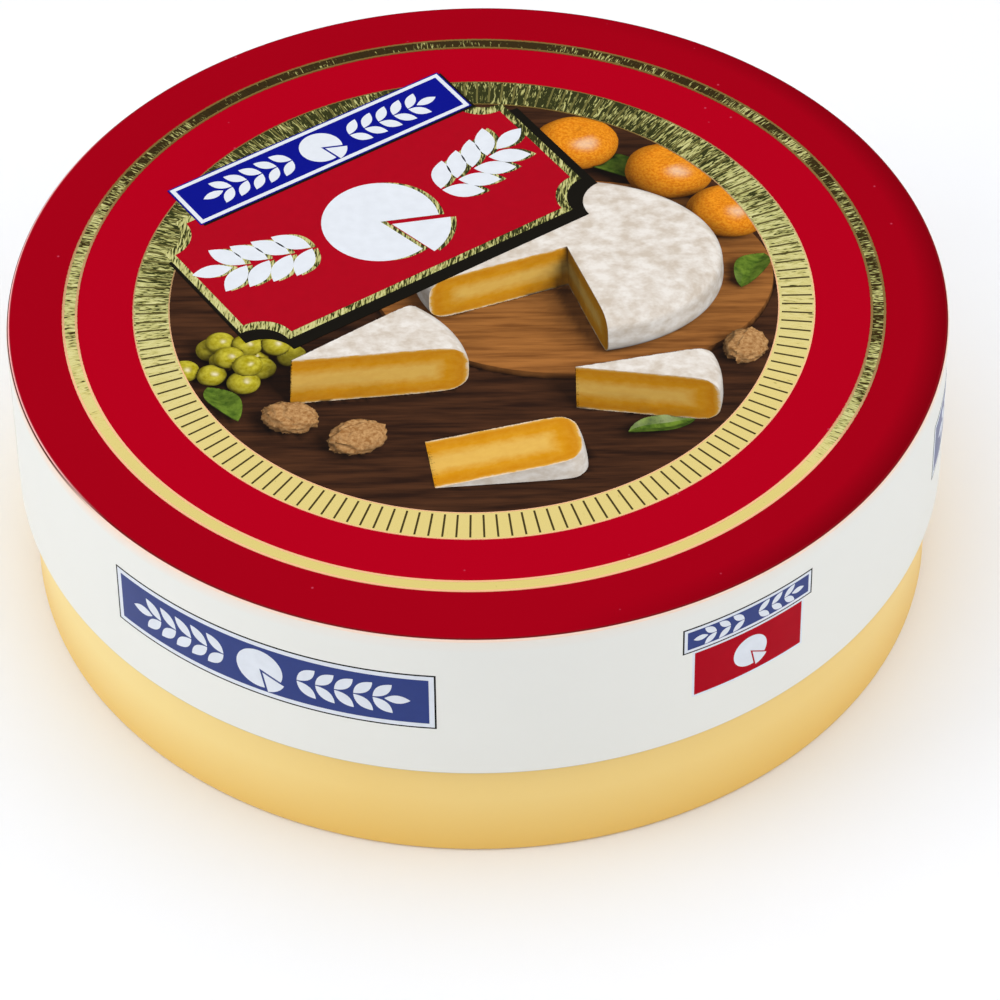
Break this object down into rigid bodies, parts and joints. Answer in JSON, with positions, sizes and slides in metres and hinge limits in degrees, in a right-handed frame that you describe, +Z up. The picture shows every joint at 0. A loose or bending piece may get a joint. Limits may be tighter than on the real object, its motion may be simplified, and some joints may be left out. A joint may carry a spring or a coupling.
{
  "type": "boxed brie",
  "caption": "Round two-piece paperboard cheese box, shut: deep printed lid with foil rings over a plain tray that holds a brie.",
  "frame": {"origin": "centre of the flat underside of the tray", "axes": "+Z up through the lid, -Y to the front of the print, +X to its right"},
  "size_m": [0.1141, 0.114, 0.0376],
  "materials": {
    "tray_board": "satin",
    "lid_board": "satin",
    "red_print": "gloss",
    "gold_foil": "gloss",
    "picture_print": "gloss",
    "blue_print": "gloss"
  },
  "bodies": {
    "root": {"tray": "tray_board", "lid": "lid_board", "top_sheet": "red_print", "foil_ring_outer": "gold_foil", "foil_ring_inner": "gold_foil", "picture_disc": "picture_print", "plaque_edge": "gold_foil", "plaque_field": "red_print", "name_band": "blue_print", "wall_band_1": "blue_print", "wall_band_2": "blue_print", "wall_band_3": "blue_print", "badge_stripe_1": "blue_print", "badge_stripe_2": "blue_print", "badge_field_1": "red_print", "badge_field_2": "red_print"}
  },
  "joints": []
}
